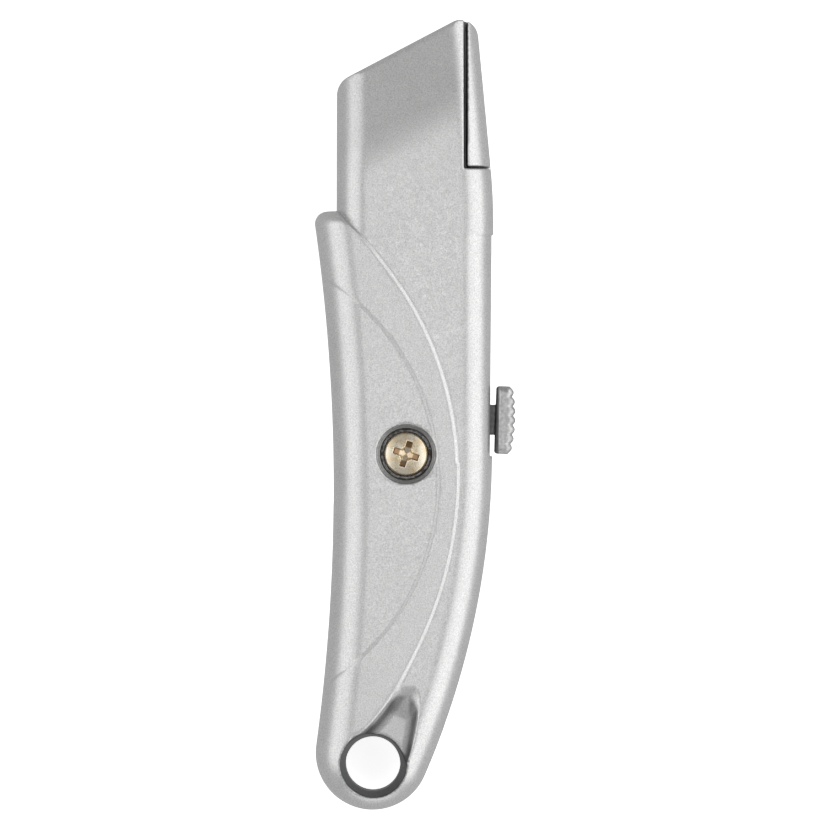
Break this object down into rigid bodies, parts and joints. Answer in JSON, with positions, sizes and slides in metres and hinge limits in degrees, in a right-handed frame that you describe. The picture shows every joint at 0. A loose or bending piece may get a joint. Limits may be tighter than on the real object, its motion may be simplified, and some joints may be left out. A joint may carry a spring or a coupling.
{
  "type": "retractable utility knife",
  "caption": "Retractable utility knife: two die-cast halves, cross-recess screw, serrated thumb slider, trapezoid blade, spare blades and hang hole.",
  "frame": {"origin": "middle of the bounding box, on the surface the knife lies on", "axes": "+X from the tail to the nose, +Y from the spine and its thumb button to the belly, +Z out of the screw side"},
  "size_m": [0.155, 0.0394, 0.0166],
  "materials": {
    "cast_silver": "satin metallic silver lacquer on zinc die casting",
    "yellow_zinc": "yellow passivated zinc plate on steel",
    "bare_casting": "tumbled bare zinc alloy casting",
    "spring_steel": "blued spring steel",
    "rivet_steel": "bright steel",
    "blade_steel": "hardened steel, ground bevel, light oil"
  },
  "bodies": {
    "rear_half": {"rear_body_half": "cast_silver", "spare_blade_1": "blade_steel", "spare_blade_2": "blade_steel", "spare_blade_3": "blade_steel", "spare_blade_4": "blade_steel", "spare_blade_5": "blade_steel"},
    "cover": {"front_body_half": "cast_silver"},
    "screw": {"body_screw": "yellow_zinc"},
    "slider": {"blade_carrier": "bare_casting", "lock_spring": "spring_steel", "spring_rivet": "rivet_steel", "cutting_blade": "blade_steel"},
    "button": {"thumb_button": "bare_casting"}
  },
  "joints": [
    {"name": "carrier_slide", "type": "slide", "parent": "rear_half", "child": "slider", "axis": [1, 0, 0], "range_m": [0, 0.028], "deforming": ["lock_spring"]},
    {"name": "button_press", "type": "slide", "parent": "slider", "child": "button", "axis": [0, 1, 0], "range_m": [0, 0.0006], "stiffness_N_per_m": 1500, "springref_m": -0.002, "deforming": ["lock_spring"]},
    {"name": "cover_lift", "type": "slide", "parent": "rear_half", "child": "cover", "axis": [0, 0, 1], "range_m": [0, 0.03]},
    {"name": "screw_out", "type": "slide", "parent": "cover", "child": "screw", "axis": [0, 0, 1], "range_m": [0, 0.014]}
  ]
}
